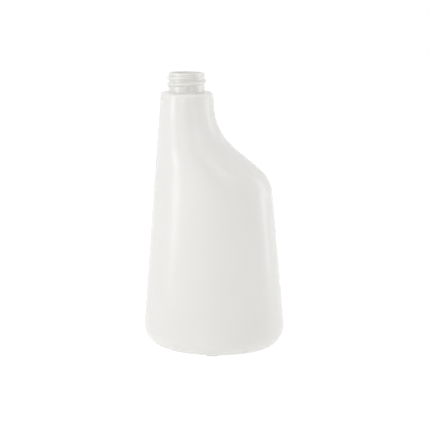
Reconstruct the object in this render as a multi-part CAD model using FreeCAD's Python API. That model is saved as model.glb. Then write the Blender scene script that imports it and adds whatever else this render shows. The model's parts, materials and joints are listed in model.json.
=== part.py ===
"""A blow-moulded spray bottle for dilute chemicals, with a graduated scale on its narrow edge.

Millimetres, +Z up. X runs along the width and Y along the depth. The origin is on the surface
that the bottle stands on, halfway along its foot. The mould parts on the XZ plane.
"""

import math
import os

import FreeCAD
import Part
from FreeCAD import Vector

# body, outside. A corner is where two straight runs of an outline would meet without their blend.
SHELF_HEIGHT = 186.0  # from the standing surface to the shelf that the neck rises from
NECK_OFFSET = 18.9  # from the middle of the foot back to the neck's axis
SHELF_WIDTH = 5.55  # from the thread's root out to the collar, the round section under the shelf
SHELF_EDGE_RADIUS = 2.0
FOOT_BACK = 52.7  # reach of the straight edge at the standing surface, if it had no heel
FOOT_TIP = 53.0  # the same for the edge under the sloping shoulder
FOOT_DEPTH = 36.4  # the same for the broad faces, to either side of the parting plane
HEEL_RADIUS = 18.0

# sloping shoulder: its upper corner as (beyond the collar, below the shelf) and its lower one as
# (short of FOOT_TIP, below the shelf)
SHOULDER_TOP = (2.3, 29.0)
SHOULDER_FOOT = (12.7, 60.5)
SHOULDER_HOLLOW_RADIUS = 42.0  # blend under the collar, where a finger rests
SHOULDER_CREST_RADIUS = 25.0

# broad faces: where the collar starts to swell out and where the swell is done, in the same way
SWELL_TOP = (0.8, 18.0)
SWELL_FOOT = (7.5, 50.0)  # short of FOOT_DEPTH
SWELL_HOLLOW_RADIUS = 70.0
SWELL_CREST_RADIUS = 110.0

# sections that the body is lofted through
HEEL_STEPS = 9
EDGE_STEPS = 4
LEVEL_SPACING = 3.5

# walls
BODY_WALL = 0.9
FLOOR_WALL = 1.4
SHELF_WALL = 1.8

# neck and its thread
NECK_HEIGHT = 13.4  # from the shelf to the rim
BORE_RADIUS = 10.7
NECK_WALL = 1.85  # between the bore and the root of the thread
NECK_ROOT_FILLET = 1.0
RIM_ROUND = 0.5
THREAD_DEPTH = 1.15
THREAD_PITCH = 4.2
THREAD_BASE_WIDTH = 2.7
THREAD_CREST_WIDTH = 1.1
THREAD_RIM_GAP = 1.2  # plain neck above the thread's upper end
THREAD_START_ANGLE = 95.0  # from +X towards +Y
THREAD_SWEEP = 560.0
THREAD_RUN_OUT = 45.0  # each end fades into the neck over this angle
THREAD_SINK = 0.4  # how far the thread's foot is let into the neck
THREAD_STEP = 10.0  # degrees between the thread's sections

# underside
STANDING_RIM = 4.0  # width of the flat ring that the bottle stands on
PUSH_UP = 2.6
PUSH_UP_DRAFT = 1.8
PINCH_WIDTH = 0.9  # seam left where the mould pinched the tube shut
PINCH_HEIGHT = 0.6
LUG_WIDTH = 8.0  # locating lug at the front of the heel
LUG_LENGTH = 5.8  # beyond the standing ring
LUG_CORNER = 1.0

# scale on the straight edge, beside the parting plane
MARK_RISE = 0.3
MARK_THICKNESS = 0.8
MARK_STEP_ML = 50.0
MARK_TOP_ML = 600.0
MARK_GAP = 1.5  # clear of the parting plane
LONG_MARK = 6.0  # length along Y of a mark at each 100 ml
SHORT_MARK = 3.5

NECK_RADIUS = BORE_RADIUS + NECK_WALL
COLLAR_RADIUS = NECK_RADIUS + SHELF_WIDTH


def blended(corners, radii, height):
    """Reach and slope (dx/dz) at a height, on straight runs joined by tangent arcs.

    The corners are (reach, height) pairs from top to bottom, with one radius for each inner one.
    """
    points = [Vector(x, 0, z) for x, z in corners]
    for before, corner, after, radius in zip(points, points[1:], points[2:], radii):
        down = (corner - before).normalize()
        on = (after - corner).normalize()
        tangent = radius * math.tan(down.getAngle(on) / 2)
        start = corner - down * tangent
        end = corner + on * tangent
        if end.z <= height <= start.z:
            side = 1 if down.x * on.z - down.z * on.x < 0 else -1
            centre = start + Vector(down.z, 0, -down.x) * radius * side
            drop = height - centre.z
            run = math.sqrt(radius**2 - drop**2) * side
            return centre.x + run, -drop / run
    for upper, lower in zip(points, points[1:]):
        if height >= lower.z or lower is points[-1]:
            slope = (upper.x - lower.x) / (upper.z - lower.z)
            return lower.x + slope * (height - lower.z), slope


def outline(collar, upper, lower, foot):
    """Corners of an outline from the collar to the foot, with an upper and a lower one between."""
    return [
        (collar, SHELF_HEIGHT),
        (collar + upper[0], SHELF_HEIGHT - upper[1]),
        (foot - lower[0], SHELF_HEIGHT - lower[1]),
        (foot, 0),
    ]


def section(height, inset):
    """Centre, half width and half depth of the body's elliptical section, moved in by inset."""
    straight = [(COLLAR_RADIUS + NECK_OFFSET, SHELF_HEIGHT), (FOOT_BACK, 0)]
    shoulder = outline(COLLAR_RADIUS - NECK_OFFSET, SHOULDER_TOP, SHOULDER_FOOT, FOOT_TIP)
    face = outline(COLLAR_RADIUS, SWELL_TOP, SWELL_FOOT, FOOT_DEPTH)
    reaches = []
    for corners, radii in (
        (straight, ()),
        (shoulder, (SHOULDER_HOLLOW_RADIUS, SHOULDER_CREST_RADIUS)),
        (face, (SWELL_HOLLOW_RADIUS, SWELL_CREST_RADIUS)),
    ):
        reach, slope = blended(corners, radii, height)
        reaches.append(reach - inset * math.hypot(1, slope))
    back, tip, half_depth = reaches
    return (tip - back) / 2, (tip + back) / 2, half_depth


def levels(floor, top, heel, edge):
    """Heights from floor to top, each with how far the heel or the shelf's edge pulls it in."""
    heel_turns = [math.pi / 2 * i / HEEL_STEPS for i in range(HEEL_STEPS)]
    edge_turns = [math.pi / 2 * i / EDGE_STEPS for i in range(1, EDGE_STEPS + 1)]
    start, end = floor + heel, top - edge
    count = round((end - start) / LEVEL_SPACING)
    rounded_heel = [(start - heel * math.cos(turn), heel * (1 - math.sin(turn))) for turn in heel_turns]
    straight = [(start + (end - start) * i / count, 0) for i in range(count + 1)]
    rounded_edge = [(end + edge * math.sin(turn), edge * (1 - math.cos(turn))) for turn in edge_turns]
    return rounded_heel + straight + rounded_edge


def ring(centre, half_width, half_depth, height):
    """An elliptical wire in a front and a back half, which meet on the parting plane."""
    circle = Part.Circle(Vector(), Vector(0, 0, 1), 1)
    halves = Part.Wire([circle.toShape(0, math.pi), circle.toShape(math.pi, 2 * math.pi)])
    stretch = FreeCAD.Matrix()
    stretch.scale(half_width, half_depth, 1)
    stretch.move(centre, 0, height)
    return halves.transformGeometry(stretch)


def body(inset, floor, top):
    """The body as a solid, with its sides moved in by inset."""
    rings = []
    for height, pull in levels(floor, top, HEEL_RADIUS - inset, SHELF_EDGE_RADIUS):
        centre, half_width, half_depth = section(height, inset)
        rings.append(ring(centre, half_width - pull, half_depth - pull, height))
    return Part.makeLoft(rings, True)


def push_up(grow):
    """The raised middle of the underside, grown by the floor's thickness for the inner side."""
    centre, half_width, half_depth = section(0, 0)
    pull = HEEL_RADIUS + STANDING_RIM - grow
    low = ring(centre, half_width - pull, half_depth - pull, 0)
    pull += PUSH_UP_DRAFT
    high = ring(centre, half_width - pull, half_depth - pull, PUSH_UP + grow)
    dome = Part.makeLoft([low, high], True)
    crown = [edge for edge in dome.Edges if edge.BoundBox.ZMin > dome.BoundBox.ZMax - 0.01]
    return dome.makeFillet(PUSH_UP_DRAFT, crown)


def pinch_seam():
    """The raised seam across the push-up, where the mould pinched the tube of melt shut."""
    centre, half_width, _ = section(0, 0)
    length = 2 * (half_width - HEEL_RADIUS - STANDING_RIM - PUSH_UP_DRAFT)
    corner = Vector(centre - length / 2, -PINCH_WIDTH / 2, PUSH_UP - PINCH_HEIGHT)
    return Part.makeBox(length, PINCH_WIDTH, PINCH_HEIGHT + FLOOR_WALL / 2, corner)


def lug():
    """A small pad on the heel's front, flush with the standing surface."""
    reach = FOOT_DEPTH - HEEL_RADIUS + LUG_LENGTH
    pad = Part.makeBox(LUG_WIDTH, reach, HEEL_RADIUS / 2, Vector(-LUG_WIDTH / 2, -reach, 0))
    face = min(pad.Faces, key=lambda side: side.CenterOfMass.y)
    uprights = [edge for edge in face.Edges if edge.BoundBox.ZLength > 1]
    return pad.makeFillet(LUG_CORNER, uprights)


def mark_heights(lost_ml):
    """The height of the liquid at each step of the scale. lost_ml is what the push-up takes up."""
    ceiling = SHELF_HEIGHT - SHELF_WALL
    areas = []
    for height, pull in levels(FLOOR_WALL, ceiling, HEEL_RADIUS - BODY_WALL, SHELF_EDGE_RADIUS):
        _, half_width, half_depth = section(height, BODY_WALL)
        areas.append((height, math.pi * (half_width - pull) * (half_depth - pull)))
    heights = []
    filled = -lost_ml
    for (low, low_area), (high, high_area) in zip(areas, areas[1:]):
        slice_ml = (high - low) * (low_area + high_area) / 2 / 1000
        while filled + slice_ml >= (len(heights) + 1) * MARK_STEP_ML:
            share = ((len(heights) + 1) * MARK_STEP_ML - filled) / slice_ml
            heights.append(low + (high - low) * share)
        filled += slice_ml
    return heights[: round(MARK_TOP_ML / MARK_STEP_ML)]


def scale_marks(heights):
    """Raised bars that follow the body's straight edge, longer at each second step."""
    skin = body(-MARK_RISE, 0, SHELF_HEIGHT)
    bars = []
    for step, height in enumerate(heights, start=1):
        length = LONG_MARK if step % 2 == 0 else SHORT_MARK
        corner = Vector(-2 * FOOT_BACK, MARK_GAP, height - MARK_THICKNESS / 2)
        bar = Part.makeBox(2 * FOOT_BACK - NECK_OFFSET, length, MARK_THICKNESS, corner)
        bars.append(bar.common(skin))
    return bars


def thread(axis):
    """A single right-hand start, lofted along its helix, that fades into the neck at both ends."""
    count = round(THREAD_SWEEP / THREAD_STEP)
    end = SHELF_HEIGHT + NECK_HEIGHT - THREAD_RIM_GAP - THREAD_BASE_WIDTH / 2
    sections = []
    for i in range(count + 1):
        turned = THREAD_SWEEP * i / count
        fade = min(1, turned / THREAD_RUN_OUT, (THREAD_SWEEP - turned) / THREAD_RUN_OUT)
        foot = NECK_RADIUS - THREAD_SINK
        crest = foot + THREAD_SINK / 2 + (THREAD_DEPTH + THREAD_SINK / 2) * math.sin(math.pi / 2 * fade)
        middle = end - THREAD_PITCH * (THREAD_SWEEP - turned) / 360
        angle = math.radians(THREAD_START_ANGLE + turned)
        outward = Vector(math.cos(angle), math.sin(angle), 0)
        corners = []
        for radius, rise in (
            (foot, -THREAD_BASE_WIDTH / 2),
            (crest, -THREAD_CREST_WIDTH / 2),
            (crest, THREAD_CREST_WIDTH / 2),
            (foot, THREAD_BASE_WIDTH / 2),
        ):
            corners.append(axis + outward * radius + Vector(0, 0, middle + rise))
        sections.append(Part.makePolygon(corners + corners[:1]))
    return Part.makeLoft(sections, True)


def circles_at(shape, radius, height):
    """The round edges of this radius at this height."""
    return [
        edge
        for edge in shape.Edges
        if edge.Curve.TypeId == "Part::GeomCircle"
        and abs(edge.Curve.Radius - radius) < 0.01
        and abs(edge.BoundBox.ZMin - height) < 0.01
        and edge.BoundBox.ZLength < 0.01
    ]


def bottle():
    """The whole bottle, one hollow moulding open at the neck."""
    axis = Vector(-NECK_OFFSET, 0, 0)
    rim = SHELF_HEIGHT + NECK_HEIGHT
    up = Vector(0, 0, 1)

    outside = body(0, 0, SHELF_HEIGHT).fuse(lug())
    neck_foot = SHELF_HEIGHT - SHELF_WALL
    neck = Part.makeCylinder(NECK_RADIUS, rim - neck_foot, axis + up * neck_foot, up)
    outside = outside.fuse(neck)
    outside = outside.makeFillet(NECK_ROOT_FILLET, circles_at(outside, NECK_RADIUS, SHELF_HEIGHT))
    outside = outside.makeFillet(RIM_ROUND, circles_at(outside, NECK_RADIUS, rim))

    inside = body(BODY_WALL, FLOOR_WALL, SHELF_HEIGHT - SHELF_WALL)
    raised_floor = push_up(FLOOR_WALL)
    lost_ml = inside.common(raised_floor).Volume / 1000
    inside = inside.cut(raised_floor)
    bore = Part.makeCylinder(BORE_RADIUS, rim - neck_foot + 1, axis + up * (neck_foot - 1), up)

    outside = outside.fuse([thread(axis)] + scale_marks(mark_heights(lost_ml)))
    shell = outside.cut(push_up(0)).cut(inside).cut(bore)
    shell = shell.fuse(pinch_seam())
    shell = shell.makeFillet(RIM_ROUND, circles_at(shell, BORE_RADIUS, rim))
    plastic_ml = shell.Volume / 1000
    print("solids", len(shell.Solids), "valid", shell.isValid(), "plastic ml", round(plastic_ml, 1))
    return shell.Solids[0]


os.makedirs("parts", exist_ok=True)
bottle().exportStep("parts/bottle.step")
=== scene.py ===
import json
import math

import bmesh
import bpy
from mathutils import Matrix, Vector


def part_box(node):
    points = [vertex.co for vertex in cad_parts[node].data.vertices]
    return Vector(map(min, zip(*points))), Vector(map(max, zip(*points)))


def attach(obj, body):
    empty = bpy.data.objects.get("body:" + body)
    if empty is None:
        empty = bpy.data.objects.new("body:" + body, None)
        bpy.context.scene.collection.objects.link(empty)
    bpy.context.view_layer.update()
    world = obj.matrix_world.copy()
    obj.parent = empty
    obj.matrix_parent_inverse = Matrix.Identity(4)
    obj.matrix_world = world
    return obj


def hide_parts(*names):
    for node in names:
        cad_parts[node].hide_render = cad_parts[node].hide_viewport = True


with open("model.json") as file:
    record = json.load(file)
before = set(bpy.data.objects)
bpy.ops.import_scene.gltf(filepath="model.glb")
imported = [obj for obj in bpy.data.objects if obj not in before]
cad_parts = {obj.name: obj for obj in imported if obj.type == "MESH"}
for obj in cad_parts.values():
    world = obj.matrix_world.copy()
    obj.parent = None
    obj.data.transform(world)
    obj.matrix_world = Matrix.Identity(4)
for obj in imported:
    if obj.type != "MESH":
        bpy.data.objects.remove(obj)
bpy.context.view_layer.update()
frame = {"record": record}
print("frame loaded")

mounts = {mount["name"]: mount for mount in frame["record"]["mounts"]}
neckX = mounts["neck_bore"]["pos_m"][0]
boreRadius = mounts["neck_bore"]["dims"]["r_mm"] / 1000
crestRadius = mounts["neck_thread"]["dims"]["r_mm"] / 1000
boxLow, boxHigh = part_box("bottle")
rimZ = boxHigh.z
touching = 1e-6  # two places nearer than this are one
cubicMetre = 1e6  # in millilitres

# the blown body; a corner is where two straight runs of an outline would meet without their blend
body = {
    "shelfZ": 0.186,
    "collarRadius": 0.0181,
    "footBack": 0.0527,
    "footTip": 0.053,
    "footDepth": 0.0364,
    "heelRadius": 0.018,
    "shelfEdge": 0.002,
    "shoulder": [(0.0015, 0.157), (0.0403, 0.1255)],
    "shoulderBlends": [0.042, 0.025],
    "swell": [(0.0189, 0.168), (0.0289, 0.136)],
    "swellBlends": [0.07, 0.11],
    "wall": 0.0009,
    "floorWall": 0.0014,
    "shelfWall": 0.0018,
    "around": 192,  # corners in each ring
    "outsideStep": 0.0025,
    "insideStep": 0.005,
    "heelSteps": 12,
    "insideHeelSteps": 9,
    "edgeSteps": 5,
}


def reachAt(corners, blends, z):
    # how far an outline reaches at a height, and its slope: straight runs joined by tangent arcs
    points = [Vector(corner) for corner in corners]
    for before, corner, after, radius in zip(points, points[1:], points[2:], blends):
        down = (corner - before).normalized()
        on = (after - corner).normalized()
        tangent = radius * math.tan(down.angle(on) / 2)
        start = corner - down * tangent
        end = corner + on * tangent
        if end.y <= z <= start.y:
            side = 1 if down.x * on.y - down.y * on.x < 0 else -1
            centre = start + Vector((down.y, -down.x)) * radius * side
            drop = z - centre.y
            run = math.sqrt(radius**2 - drop**2) * side
            return centre.x + run, -drop / run
    for upper, lower in zip(points, points[1:]):
        if z >= lower.y or lower is points[-1]:
            slope = (upper.x - lower.x) / (upper.y - lower.y)
            return lower.x + slope * (z - lower.y), slope


def ovalAt(z, inset=0, pull=0):
    # the body's oval at a height as (z, centre x, half width, half depth): inset is the wall's
    # thickness between the skin and it, and pull draws it in further
    top, collar = body["shelfZ"], body["collarRadius"]
    outlines = [
        ([(collar - neckX, top), (body["footBack"], 0)], []),
        ([(collar + neckX, top), *body["shoulder"], (body["footTip"], 0)], body["shoulderBlends"]),
        ([(collar, top), *body["swell"], (body["footDepth"], 0)], body["swellBlends"]),
    ]
    reaches = []
    for corners, blends in outlines:
        reach, slope = reachAt(corners, blends, z)
        reaches.append(reach - inset * math.hypot(1, slope) - pull)
    back, tip, halfDepth = reaches
    return z, (tip - back) / 2, (tip + back) / 2, halfDepth


def heelPull(radius, up):
    # how far the rounded heel draws an oval in, at a height above its foot
    return radius - math.sqrt(radius**2 - (radius - min(up, radius)) ** 2)


def quarterTurn(steps):
    # the angles from 0 to 90 degrees that a rounding is drawn at
    return [math.pi / 2 * i / steps for i in range(steps + 1)]


def spread(start, end, step):
    # even places from start to end, about a step apart
    count = max(1, round(abs(end - start) / step))
    return [start + (end - start) * i / count for i in range(count + 1)]


neck = {
    "rootRadius": 0.01255,
    "rootFillet": 0.001,
    "rimRound": 0.0005,
    "roundSteps": 5,
    "shelfStep": 0.0009,
    "ringStep": 0.00026,
    "boreStep": 0.0015,
    "threadRimGap": 0.0012,  # between the rim and the thread's upper end
    "threadStartAngle": 95,
    "threadSweep": 560,
    "threadPitch": 0.0042,
    "threadFoot": 0.0027,
    "threadCrest": 0.0011,
    "threadRunOut": 45,
}

underside = {
    "standingRim": 0.004,
    "pushUp": 0.0026,
    "pushUpRun": 0.003,  # how far in the recess's rounded wall runs
    "recessSteps": 7,
    "pinchWidth": 0.0009,
    "pinchRise": 0.0006,
    "pinchSunk": 0.0006,  # how deep its root is let into the floor
    "pinchCorner": 0.000225,
    "lugWidth": 0.008,
    "lugReach": 0.0242,  # from the middle out towards the front
    "lugLength": 0.0058,
    "lugHeight": 0.0012,
    "lugCorner": 0.0004,
}


def footOval(pull, z):
    # the foot's oval, drawn in by pull and lifted to a height
    _, x, halfWidth, halfDepth = ovalAt(0, pull=pull)
    return z, x, halfWidth, halfDepth


def recessOvals(wall):
    # the push-up's rounded wall from its ceiling down to its mouth, outside or, with a wall, inside
    mouth = body["heelRadius"] + underside["standingRim"] - wall
    for turn in reversed(quarterTurn(underside["recessSteps"])):
        pull = mouth + underside["pushUpRun"] * (1 - math.cos(turn))
        yield footOval(pull, wall + underside["pushUp"] * math.sin(turn))


def outsideRings():
    # from the middle of the underside, round the heel and up to the shelf
    heel, edge, top = body["heelRadius"], body["shelfEdge"], body["shelfZ"]
    rings = list(recessOvals(0))
    rings.append(footOval(heel + underside["standingRim"] / 2, 0))
    for turn in quarterTurn(body["heelSteps"])[:-1]:
        rings.append(ovalAt(heel * (1 - math.cos(turn)), pull=heel * (1 - math.sin(turn))))
    rings += [ovalAt(z) for z in spread(heel, top - edge, body["outsideStep"])]
    for turn in quarterTurn(body["edgeSteps"])[1:]:
        rings.append(ovalAt(top - edge * (1 - math.sin(turn)), pull=edge * (1 - math.cos(turn))))
    return rings


def neckRings():
    # along the shelf, up the neck, over its rim and down the bore
    root, fillet, rimRound = neck["rootRadius"], neck["rootFillet"], neck["rimRound"]
    top, turns = body["shelfZ"], quarterTurn(neck["roundSteps"])
    shelfEnd, boreFoot = body["collarRadius"] - body["shelfEdge"], top - body["shelfWall"]
    rings = [(top, radius) for radius in spread(shelfEnd, root + fillet, neck["shelfStep"])[1:]]
    for turn in turns[1:]:
        rings.append((top + fillet * (1 - math.cos(turn)), root + fillet * (1 - math.sin(turn))))
    rings += [(z, root) for z in spread(top + fillet, rimZ - rimRound, neck["ringStep"])[1:]]
    for turn in turns[1:]:
        radius = root - rimRound * (1 - math.cos(turn))
        rings.append((rimZ - rimRound * (1 - math.sin(turn)), radius))
    for turn in turns:
        radius = boreRadius + rimRound * (1 - math.sin(turn))
        rings.append((rimZ - rimRound * (1 - math.cos(turn)), radius))
    rings += [(z, boreRadius) for z in spread(rimZ - rimRound, boreFoot, neck["boreStep"])[1:]]
    return [(z, neckX, radius, radius) for z, radius in rings]


def insideRings():
    # from under the shelf down the inner skin to the middle of the floor
    wall, floor, edge = body["wall"], body["floorWall"], body["shelfEdge"]
    ceiling, heel = body["shelfZ"] - body["shelfWall"], body["heelRadius"] - wall
    rings = []
    for turn in reversed(quarterTurn(body["edgeSteps"])):
        pull = edge * (1 - math.cos(turn))
        rings.append(ovalAt(ceiling - edge * (1 - math.sin(turn)), wall, pull))
    rings += [ovalAt(z, wall) for z in spread(ceiling - edge, floor + heel, body["insideStep"])[1:]]
    for turn in reversed(quarterTurn(body["insideHeelSteps"])[:-1]):
        pull = heel * (1 - math.sin(turn))
        rings.append(ovalAt(floor + heel * (1 - math.cos(turn)), wall, pull))
    rings += reversed(list(recessOvals(floor)))
    return rings


def placing(ring):
    # takes a circle of radius 1 to an oval
    z, x, halfWidth, halfDepth = ring
    return Matrix.Translation((x, 0, z)) @ Matrix.Diagonal((halfWidth, halfDepth, 1, 1))


def loft(bm, rings, around):
    # one closed skin drawn ring by ring, capped at both ends; gives back the rings' corners
    made = bmesh.ops.create_circle(bm, cap_ends=True, segments=around, radius=1)
    bmesh.ops.transform(bm, matrix=placing(rings[0]), verts=made["verts"])
    drawn = [made["verts"]]
    edges = bm.edges[:]
    for last, ring in zip(rings, rings[1:]):
        grown = bmesh.ops.extrude_edge_only(bm, edges=edges)["geom"]
        corners = [part for part in grown if isinstance(part, bmesh.types.BMVert)]
        newEdges = [part for part in grown if isinstance(part, bmesh.types.BMEdge)]
        edges = [edge for edge in newEdges if edge.is_boundary]
        bmesh.ops.transform(bm, matrix=placing(ring) @ placing(last).inverted(), verts=corners)
        drawn.append(corners)
    bmesh.ops.contextual_create(bm, geom=edges)
    return drawn


def threadRise(angle, z):
    # how far the thread stands out of the neck at an angle in degrees and a height
    rise, sweep = 0, neck["threadSweep"]
    upperEnd = rimZ - neck["threadRimGap"] - neck["threadFoot"] / 2
    for turn in range(math.ceil(sweep / 360)):
        turned = (angle - neck["threadStartAngle"]) % 360 + 360 * turn
        if turned < sweep:
            middle = upperEnd - neck["threadPitch"] * (sweep - turned) / 360
            flank = abs(z - middle) - neck["threadCrest"] / 2
            down = min(1, max(0, flank / (neck["threadFoot"] - neck["threadCrest"]) * 2))
            ends = min(1, turned / neck["threadRunOut"], (sweep - turned) / neck["threadRunOut"])
            full = (crestRadius - neck["rootRadius"]) * math.sin(math.pi / 2 * ends)
            rise = max(rise, full * (0.5 + 0.5 * math.cos(math.pi * down)))
    return rise


def raiseThread(corners):
    for corner in corners:
        outward = Vector((corner.co.x - neckX, corner.co.y, 0))
        if abs(outward.length - neck["rootRadius"]) < touching:
            angle = math.degrees(math.atan2(outward.y, outward.x))
            corner.co += outward.normalized() * threadRise(angle, corner.co.z)


seam = {
    "halfWidth": 0.00022,
    "footHalfWidth": 0.000528,
    "rise": 0.00009,
    "lowest": 0.0045,  # the height on the heel that it starts above
}


def raiseSeam(bm, corners):
    # the fine line where the two halves of the mould met, over both narrow ends
    bmesh.ops.recalc_face_normals(bm, faces=bm.faces[:])
    lifted = [(corner, corner.normal.copy()) for corner in corners if abs(corner.co.y) < touching]
    half, foot = seam["halfWidth"], seam["footHalfWidth"]
    for offset in (-foot, -half, half, foot):
        cut = {"plane_co": (0, offset, 0), "plane_no": (0, 1, 0), "dist": touching / 10}
        bmesh.ops.bisect_plane(bm, geom=bm.verts[:] + bm.edges[:] + bm.faces[:], **cut)
    for corner, normal in lifted:
        if corner.co.z > seam["lowest"]:
            corner.co += normal * seam["rise"]
            corner.co.x = max(boxLow.x, min(boxHigh.x, corner.co.x))


def roundEdges(bm, edges, offset, segments):
    bevel = {"affect": "EDGES", "segments": segments, "profile": 0.5, "material": -1}
    bmesh.ops.bevel(bm, geom=edges, offset=offset, **bevel)


def addBlock(bm, low, high, rounding):
    # a small solid block between two corners, with rounded edges, in the inner skin's material, so
    # that it takes that material's painted glow
    before = set(bm.faces)
    middle = (Vector(low) + Vector(high)) / 2
    size = Vector(high) - Vector(low)
    matrix = Matrix.Translation(middle) @ Matrix.Diagonal((*size, 1))
    block = bmesh.ops.create_cube(bm, size=1, matrix=matrix)["verts"]
    edges = {edge for vert in block for edge in vert.link_edges}
    roundEdges(bm, list(edges), rounding, segments=3)
    # the block takes the inner skin's painted glow
    for face in set(bm.faces) - before:
        face.material_index = 1


def finished(bm, name, smooth=True):
    # turns the work into a piece, with its faces outwards: the operator turns shapes of a
    # millimetre or so the wrong way, so it works on them enlarged, by a factor that rounds nothing
    enlarged = 1024
    bmesh.ops.scale(bm, vec=[enlarged] * 3, verts=bm.verts[:])
    bmesh.ops.recalc_face_normals(bm, faces=bm.faces[:])
    bmesh.ops.scale(bm, vec=[1 / enlarged] * 3, verts=bm.verts[:])
    for face in bm.faces:
        face.smooth = smooth
    mesh = bpy.data.meshes.new(name)
    bm.to_mesh(mesh)
    bm.free()
    piece = bpy.data.objects.new(name, mesh)
    bpy.context.scene.collection.objects.link(piece)
    return piece


def buildBottle():
    outside, neckWall = outsideRings(), neckRings()
    neckStart, neckEnd = len(outside), len(outside) + len(neckWall)
    bm = bmesh.new()
    drawn = loft(bm, outside + neckWall + insideRings(), body["around"])
    raiseThread([corner for ring in drawn[neckStart:neckEnd] for corner in ring])
    hidden = {corner for ring in drawn[neckEnd:] for corner in ring}
    for face in bm.faces:  # the inner skin takes the second material
        face.material_index = int(hidden.issuperset(face.verts))
    raiseSeam(bm, [corner for ring in drawn[:neckStart] for corner in ring])

    lugHalf, lugReach = underside["lugWidth"] / 2, underside["lugReach"]
    lugTop = (lugHalf, underside["lugLength"] - lugReach, underside["lugHeight"])
    addBlock(bm, (-lugHalf, -lugReach, 0), lugTop, underside["lugCorner"])
    _, x, halfWidth, _ = next(recessOvals(0))
    pinchHalf, ceiling = underside["pinchWidth"] / 2, underside["pushUp"]
    pinchCrest = (x - halfWidth, -pinchHalf, ceiling - underside["pinchRise"])
    pinchRoot = (x + halfWidth, pinchHalf, ceiling + underside["pinchSunk"])
    addBlock(bm, pinchCrest, pinchRoot, underside["pinchCorner"])
    return finished(bm, "bottleShell")


scale = {
    "stepMl": 50,
    "topMl": 600,
    "fillStep": 0.0005,  # the height of the slices that are added up
    "rise": 0.0003,
    "sunk": 0.0004,  # how deep the foot of a mark is let into the wall
    "thickness": 0.0008,
    "softEdge": 0.00012,
    "gap": 0.0015,  # clear of the mould's seam
    "longMark": 0.006,
    "shortMark": 0.0035,
    "markCuts": 10,  # so that a bar can bend round the end
    "skinSteps": 12,  # the steps in which a place along the skin is found
    "numeralGap": 0.0013,
    "numeralSize": 0.0046,
}


def fillHeights():
    # the liquid's height at each step of the scale, from the areas of the inner ovals
    floor, heel = body["floorWall"], body["heelRadius"] - body["wall"]
    recess = list(recessOvals(floor))
    recessTop = recess[0][0]
    _, _, halfWidth, halfDepth = recess[(len(recess) - 1) // 2]
    recessArea = math.pi * halfWidth * halfDepth
    z, filled, heights = floor, 0, []
    while len(heights) < scale["topMl"] / scale["stepMl"]:
        _, _, halfWidth, halfDepth = ovalAt(z, body["wall"], heelPull(heel, z - floor))
        area = math.pi * halfWidth * halfDepth - (recessArea if z < recessTop else 0)
        filled += area * scale["fillStep"] * cubicMetre
        z += scale["fillStep"]
        if filled >= (len(heights) + 1) * scale["stepMl"]:
            heights.append(z)
    return heights


def onEdge(along, z, out):
    # a point on the straight narrow end: along the skin from the seam towards +Y, at a height,
    # and raised by out
    _, x, halfWidth, halfDepth = ovalAt(z, pull=heelPull(body["heelRadius"], z))
    turn, steps = 0, scale["skinSteps"]
    for _ in range(steps):
        turn += along / steps / math.hypot(halfWidth * math.sin(turn), halfDepth * math.cos(turn))
    normal = Vector((-halfDepth * math.cos(turn), halfWidth * math.sin(turn), 0)).normalized()
    return Vector((x - halfWidth * math.cos(turn), halfDepth * math.sin(turn), z)) + normal * out


def wrap(bm):
    # bends flat work, drawn as distance from the seam, height and thickness, onto the narrow end
    for vert in bm.verts:
        vert.co = onEdge(vert.co.x, vert.co.y, vert.co.z + (scale["rise"] - scale["sunk"]) / 2)
        vert.co.x = max(boxLow.x, vert.co.x)


def buildMarks(heights):
    # a bar at each step, a longer one at each second
    bm = bmesh.new()
    for step, height in enumerate(heights, start=1):
        length = scale["shortMark"] if step % 2 else scale["longMark"]
        size = Matrix.Diagonal((length, scale["thickness"], scale["rise"] + scale["sunk"], 1))
        place = Matrix.Translation((scale["gap"] + length / 2, height, 0))
        bmesh.ops.create_cube(bm, size=1, matrix=place @ size)
    roundEdges(bm, bm.edges[:], scale["softEdge"], segments=2)
    lengthways = [edge for edge in bm.edges if edge.calc_length() > scale["shortMark"] / 2]
    bmesh.ops.subdivide_edges(bm, edges=lengthways, cuts=scale["markCuts"], use_grid_fill=True)
    wrap(bm)
    return finished(bm, "scaleMarks")


def buildNumerals(heights):
    # the millilitres beside each long bar
    bm = bmesh.new()
    for step, height in enumerate(heights, start=1):
        if step % 2 == 0:
            curve = bpy.data.curves.new("numeral", "FONT")
            curve.body = str(step * scale["stepMl"])
            curve.size = scale["numeralSize"]
            curve.extrude = (scale["rise"] + scale["sunk"]) / 2
            curve.align_x, curve.align_y = "RIGHT", "CENTER"
            text = bpy.data.objects.new("numeral", curve)
            bpy.context.scene.collection.objects.link(text)
            graph = bpy.context.evaluated_depsgraph_get()
            mesh = bpy.data.meshes.new_from_object(text.evaluated_get(graph))
            edge = scale["gap"] + scale["longMark"] + scale["numeralGap"]
            mesh.transform(Matrix.Translation((edge, height, 0)) @ Matrix.Diagonal((-1, 1, 1, 1)))
            bm.from_mesh(mesh)
            bpy.data.objects.remove(text)
            bpy.data.curves.remove(curve)
            bpy.data.meshes.remove(mesh)
    bmesh.ops.remove_doubles(bm, verts=bm.verts[:], dist=touching)
    wrap(bm)
    return finished(bm, "scaleNumerals", smooth=False)


class Wire:
    # one output of a node in a material's tree, so that shader maths can be written as sums
    def __init__(self, shader, socket):
        self.shader = shader
        self.socket = socket

    def maths(self, operation, *values):
        return self.shader.node("ShaderNodeMath", {"operation": operation}, dict(enumerate(values)))

    def __add__(self, other):
        return self.maths("ADD", self, other)

    def __sub__(self, other):
        return self.maths("SUBTRACT", self, other)

    def __rsub__(self, other):
        return self.maths("SUBTRACT", other, self)

    def __mul__(self, other):
        return self.maths("MULTIPLY", self, other)

    __radd__ = __add__
    __rmul__ = __mul__


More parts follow.
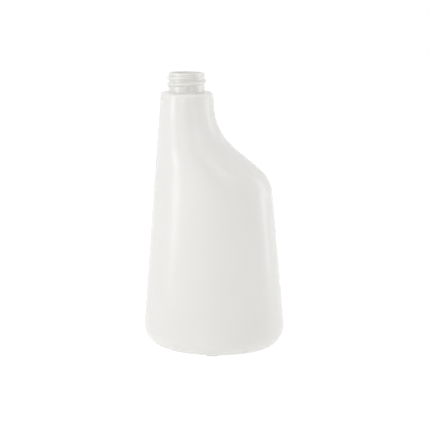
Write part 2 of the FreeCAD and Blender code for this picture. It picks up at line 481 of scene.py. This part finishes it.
class Shader:
    # the node tree of a material or a world
    def __init__(self, owner):
        owner.use_nodes = True
        self.owner = owner
        self.tree = owner.node_tree
        self.tree.nodes.clear()

    def node(self, kind, settings=None, inputs=None, output=0):
        made = self.tree.nodes.new(kind)
        for name, value in (settings or {}).items():
            setattr(made, name, value)
        for key, value in (inputs or {}).items():
            if isinstance(value, Wire):
                self.tree.links.new(value.socket, made.inputs[key])
            else:
                made.inputs[key].default_value = value
        return Wire(self, made.outputs[output]) if made.outputs else None

    def noise(self, place, pattern):
        return self.node("ShaderNodeTexNoise", None, {"Vector": place, **pattern})

    def bump(self, height, shape, **under):
        return self.node("ShaderNodeBump", None, {"Height": height, **shape, **under})

    def smoothMask(self, value, low, high):
        limits = {"Value": value, "From Min": low, "From Max": high}
        return self.node("ShaderNodeMapRange", {"interpolation_type": "SMOOTHSTEP"}, limits)

    def mixColour(self, mask, first, second):
        colours = {0: mask, 6: first, 7: second}  # a Mix node's sockets for colours
        return self.node("ShaderNodeMix", {"data_type": "RGBA"}, colours, output=2)

    def seen(self):
        # 1 for what the camera sees, itself, in a reflection or through something clear
        camera = self.node("ShaderNodeLightPath", output="Is Camera Ray")
        glossy = self.node("ShaderNodeLightPath", output="Is Glossy Ray")
        clear = self.node("ShaderNodeLightPath", output="Is Transmission Ray")
        clamped = {"operation": "ADD", "use_clamp": True}
        return self.node("ShaderNodeMath", clamped, {0: camera, 1: glossy + clear})

    def surface(self, shade, output="ShaderNodeOutputMaterial"):
        # ends the tree, and gives back the material or world it belongs to
        self.node(output, None, {"Surface": shade})
        return self.owner


plastic = {
    "bodyColour": (0.86, 0.85, 0.834, 1),
    "cloudColour": (0.852, 0.842, 0.826, 1),
    "neckColour": (0.808, 0.8, 0.77, 1),
    # painted light: the bore is painted paler than the neck, standing in for light that comes
    # through the thick wall
    "borePaintedLightColour": (0.93, 0.928, 0.905, 1),
    "bodyRoughness": 0.25,
    "neckRoughness": 0.35,
    "neckCoat": 1.0,
    "coatRoughness": 0.22,
    "roughnessSpread": 0.1,
    "grainSpread": 0.03,
    "refraction": 1.5,
    "glowDepth": 0.0012,  # how far light wanders under the skin
    "neckFade": (0.001, 0.0032),  # the neck's look sets in between these heights over the shelf
    "borePaintedLightFade": (0.0006, 0.0001),  # the bore's painted light, a paler colour, ends between these depths in the neck's wall
    "cloudFade": (0.35, 0.7),  # the noise's values between which one colour turns to the other
    "clouds": {"Scale": 26.0, "Detail": 3.0},
    "grain": {"Scale": 1600.0, "Detail": 2.0},
    "waves": {"Scale": 42.0, "Detail": 1.0},
    "grainBump": {"Strength": 0.03, "Distance": 0.00003},
    "waveBump": {"Strength": 0.06, "Distance": 0.0003},
    "insideBump": {"Strength": 0.4, "Distance": 0.0004},
    "insideRoughness": 0.4,
    "paintedInsideLight": 0.1,  # painted light: a glow standing in for daylight that comes through the thin wall and fills the inside
    "paintedInsideLightColour": (1.0, 0.985, 0.95, 1),
}


def cloudyColour(shader, cloud):
    mask = shader.smoothMask(cloud, *plastic["cloudFade"])
    return shader.mixColour(mask, plastic["bodyColour"], plastic["cloudColour"])


def naturalPlastic():
    # milky polyethylene, which light enters and wanders in; the thick neck is darker, a little
    # yellower and glossier, and its bore is painted paler, as painted light for the light that
    # comes through the thick wall
    shader = Shader(bpy.data.materials.new("naturalPlastic"))
    place = shader.node("ShaderNodeTexCoord", output="Object")
    height = shader.node("ShaderNodeSeparateXYZ", None, {"Vector": place}, output="Z")
    neckStarts = [body["shelfZ"] + up for up in plastic["neckFade"]]
    neckMask = shader.smoothMask(height, *neckStarts)
    centred = {0: place, 1: (1, 1, 0), 2: (-neckX, 0, 0)}  # the level distance from the neck's axis
    fromAxis = shader.node("ShaderNodeVectorMath", {"operation": "MULTIPLY_ADD"}, centred)
    length = {"operation": "LENGTH"}
    radius = shader.node("ShaderNodeVectorMath", length, {0: fromAxis}, output="Value")
    # painted light: inside this depth the bore takes its paler, painted-light colour
    borePaintedLightEnds = [neck["rootRadius"] - depth for depth in plastic["borePaintedLightFade"]]
    borePaintedLightMask = shader.smoothMask(radius, *borePaintedLightEnds)

    cloud = shader.noise(place, plastic["clouds"])
    grain = shader.noise(place, plastic["grain"])
    waves = shader.noise(place, plastic["waves"])
    variation = plastic["roughnessSpread"] * (cloud - 0.5) + plastic["grainSpread"] * (grain - 0.5)
    fine = shader.bump(grain, plastic["grainBump"])
    shared = {
        "Normal": shader.bump(waves, plastic["waveBump"], Normal=fine),
        "IOR": plastic["refraction"],
        "Subsurface Weight": 1.0,
        "Subsurface Radius": (1.0, 1.0, 1.0),
        "Subsurface Scale": plastic["glowDepth"],
    }
    thinWall = shader.node("ShaderNodeBsdfPrincipled", None, {
        "Base Color": cloudyColour(shader, cloud),
        "Roughness": plastic["bodyRoughness"] + variation,
        **shared,
    })
    thickWall = shader.node("ShaderNodeBsdfPrincipled", None, {
        "Base Color": shader.mixColour(borePaintedLightMask, plastic["borePaintedLightColour"], plastic["neckColour"]),
        "Roughness": plastic["neckRoughness"] + variation,
        "Coat Weight": plastic["neckCoat"],
        "Coat Roughness": plastic["coatRoughness"],
        **shared,
    })
    walls = {0: neckMask, 1: thinWall, 2: thickWall}
    return shader.surface(shader.node("ShaderNodeMixShader", None, walls))


def insidePlasticPaintedGlow():
    # the inner skin, and the lug and pinch line under the foot, which glow with painted light
    # standing in for daylight through the thin wall
    shader = Shader(bpy.data.materials.new("insidePlasticPaintedGlow"))
    place = shader.node("ShaderNodeTexCoord", output="Object")
    cloud = shader.noise(place, plastic["clouds"])
    skin = shader.node("ShaderNodeBsdfPrincipled", None, {
        "Base Color": cloudyColour(shader, cloud),
        "Roughness": plastic["insideRoughness"] + plastic["roughnessSpread"] * (cloud - 0.5),
        "Normal": shader.bump(cloud, plastic["insideBump"]),
        "IOR": plastic["refraction"],
        # painted light: a faint glow standing in for daylight through the thin wall, though nothing
        # here is a lamp
        "Emission Color": plastic["paintedInsideLightColour"],
        "Emission Strength": plastic["paintedInsideLight"],
    })
    return shader.surface(skin)


bottlePiece = buildBottle()
print("shell built", len(bottlePiece.data.polygons))
markHeights = fillHeights()
marksPiece = buildMarks(markHeights)
numeralsPiece = buildNumerals(markHeights)
print("scale built")

plasticMaterial = naturalPlastic()
for piece in (bottlePiece, marksPiece, numeralsPiece):
    piece.data.materials.append(plasticMaterial)
    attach(piece, "root")
bottlePiece.data.materials.append(insidePlasticPaintedGlow())
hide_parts("bottle")

room = {
    "white": (1, 1, 1, 1),
    "floorHalf": 3.0,
    "floorColour": (0.97, 0.97, 0.965, 1),
    "floorRoughness": 0.05,
    "floorRefraction": 1.5,
    "floorGlow": 0.8,  # how much of the floor is seen as plain white; the rest takes the shadow
    "floorWhite": 1.15,
    "floorBounce": 0.135,  # the soft light that comes up from the table
    "fill": 0.562,  # the light from all round
}

lamps = [
    # name, azimuth from the front towards +X, elevation, distance, width, height, and the
    # brightness of its face
    ("leftHigh", -56, 32, 1.4, 0.2, 0.5, 9.5),
    ("leftLow", -56, 2, 1.2, 0.3, 0.25, 4.3),
    ("leftStrip", -57, -7, 0.3225, 0.04, 0.12, 2.6),
    ("rightLow", 90, 1, 1.2, 0.32, 0.25, 1.05),
    ("rightTall", 104, 12, 1.2, 0.32, 0.7, 1.75),
    ("rightStrip", 92, -7, 0.3225, 0.04, 0.12, 2.5),
    ("frontFill", 33, 17, 1.2, 0.5, 0.9, 1.0),
    ("top", 0, 85, 1.4, 1.0, 1.0, 0.71),
]

darkSide = {
    "azimuth": 27,
    "distance": 1.0,
    "width": 1.1,
    "height": 0.6,
    "colour": (0.03, 0.03, 0.03, 1),
    "roughness": 1.0,
}

view = {
    "azimuth": 3.0,
    "distance": 0.6,  # level, from the bottle's middle
    "height": 0.2487,
    "pitch": 14.0,
    "lens": 72.7,
}


def buildFloor():
    bm = bmesh.new()
    bmesh.ops.create_grid(bm, x_segments=1, y_segments=1, size=room["floorHalf"])
    floor = finished(bm, "floor", smooth=False)
    shader = Shader(bpy.data.materials.new("paleFloor"))
    table = shader.node("ShaderNodeBsdfPrincipled", None, {
        "Base Color": room["floorColour"],
        "Roughness": room["floorRoughness"],
        "IOR": room["floorRefraction"],
        "Emission Color": room["white"],
        "Emission Strength": room["floorBounce"],
    })
    glow = {"Color": room["white"], "Strength": room["floorWhite"]}
    white = shader.node("ShaderNodeEmission", None, glow)
    shades = {0: shader.seen() * room["floorGlow"], 1: table, 2: white}
    floor.data.materials.append(shader.surface(shader.node("ShaderNodeMixShader", None, shades)))


def lightRoom():
    # plain white to look at, and fainter as light
    shader = Shader(bpy.data.worlds.new("room"))
    strength = room["fill"] + (1 - room["fill"]) * shader.seen()
    sky = shader.node("ShaderNodeBackground", None, {"Color": room["white"], "Strength": strength})
    bpy.context.scene.world = shader.surface(sky, "ShaderNodeOutputWorld")


def addLamp(name, azimuth, elevation, distance, width, height, brightness):
    # a soft box that faces the bottle's middle
    turn, rise = math.radians(azimuth), math.radians(elevation)
    level = math.cos(rise)
    away = Vector((math.sin(turn) * level, -math.cos(turn) * level, math.sin(rise)))
    lamp = bpy.data.lights.new(name, "AREA")
    lamp.shape = "RECTANGLE"
    lamp.size, lamp.size_y = width, height
    lamp.energy = math.pi * width * height * brightness  # in watts
    holder = bpy.data.objects.new(name, lamp)
    holder.location = Vector((0, 0, rimZ / 2)) + away * distance
    holder.rotation_euler = away.to_track_quat("Z", "Y").to_euler()
    holder.visible_camera = False
    bpy.context.scene.collection.objects.link(holder)


def addDarkSide():
    # the unlit side of the room behind the camera: a card that shows only as a reflection
    turn = math.radians(darkSide["azimuth"])
    away = Vector((math.sin(turn), -math.cos(turn), 0)) * darkSide["distance"]
    upright = Matrix.Rotation(turn, 4, "Z") @ Matrix.Rotation(math.pi / 2, 4, "X")
    place = Matrix.Translation(away + Vector((0, 0, darkSide["height"] / 2))) @ upright
    size = Matrix.Diagonal((darkSide["width"], darkSide["height"], 1, 1))
    bm = bmesh.new()
    bmesh.ops.create_grid(bm, x_segments=1, y_segments=1, size=0.5)
    bmesh.ops.transform(bm, matrix=place @ size, verts=bm.verts[:])
    card = finished(bm, "darkCard", smooth=False)
    card.visible_camera = card.visible_diffuse = False
    card.visible_transmission = card.visible_shadow = False
    shader = Shader(bpy.data.materials.new("darkCloth"))
    dull = {"Base Color": darkSide["colour"], "Roughness": darkSide["roughness"]}
    cloth = shader.node("ShaderNodeBsdfPrincipled", None, dull)
    card.data.materials.append(shader.surface(cloth))


def placeCamera():
    turn, distance = math.radians(view["azimuth"]), view["distance"]
    camera = bpy.data.cameras.new("camera")
    camera.lens = view["lens"]
    holder = bpy.data.objects.new("camera", camera)
    holder.location = (math.sin(turn) * distance, -math.cos(turn) * distance, view["height"])
    holder.rotation_euler = (math.radians(90 - view["pitch"]), 0, turn)
    bpy.context.scene.collection.objects.link(holder)
    bpy.context.scene.camera = holder


buildFloor()
lightRoom()
for lamp in lamps:
    addLamp(*lamp)
addDarkSide()
placeCamera()
bpy.context.scene.view_settings.view_transform = "Standard"
print("room lit")
